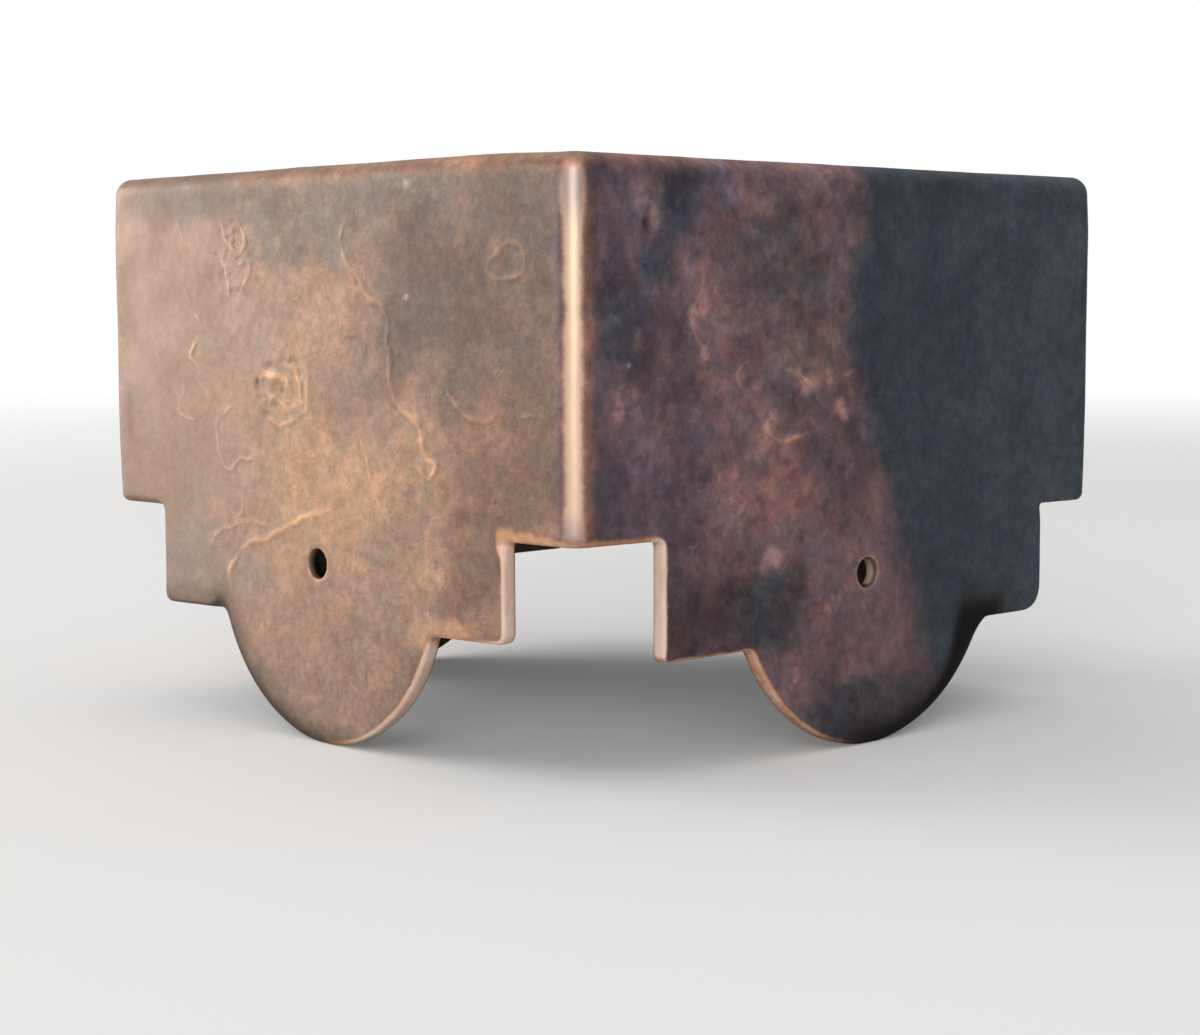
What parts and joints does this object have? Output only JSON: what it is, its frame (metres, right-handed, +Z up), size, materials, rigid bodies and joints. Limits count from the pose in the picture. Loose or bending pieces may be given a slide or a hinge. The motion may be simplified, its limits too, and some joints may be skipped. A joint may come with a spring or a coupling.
{
  "type": "post cap",
  "caption": "Square cast-bronze cap for a timber post, flat on top, with notched corners and a round lobe with a nail hole on each skirt.",
  "frame": {"origin": "centre of the square plan, on the surface that the lobes stand on", "axes": "+Z up out of the roof, -Y out of the skirt seen on the left of the picture, +X out of the skirt seen on its right"},
  "size_m": [0.1016, 0.1016, 0.0764],
  "materials": {
    "patinated_bronze": "sand-cast bronze with a mottled brown to blue-black patina, raised tan veins, edges worn to bare copper colour, satin"
  },
  "bodies": {
    "root": {"post_cap": "patinated_bronze"}
  },
  "joints": []
}
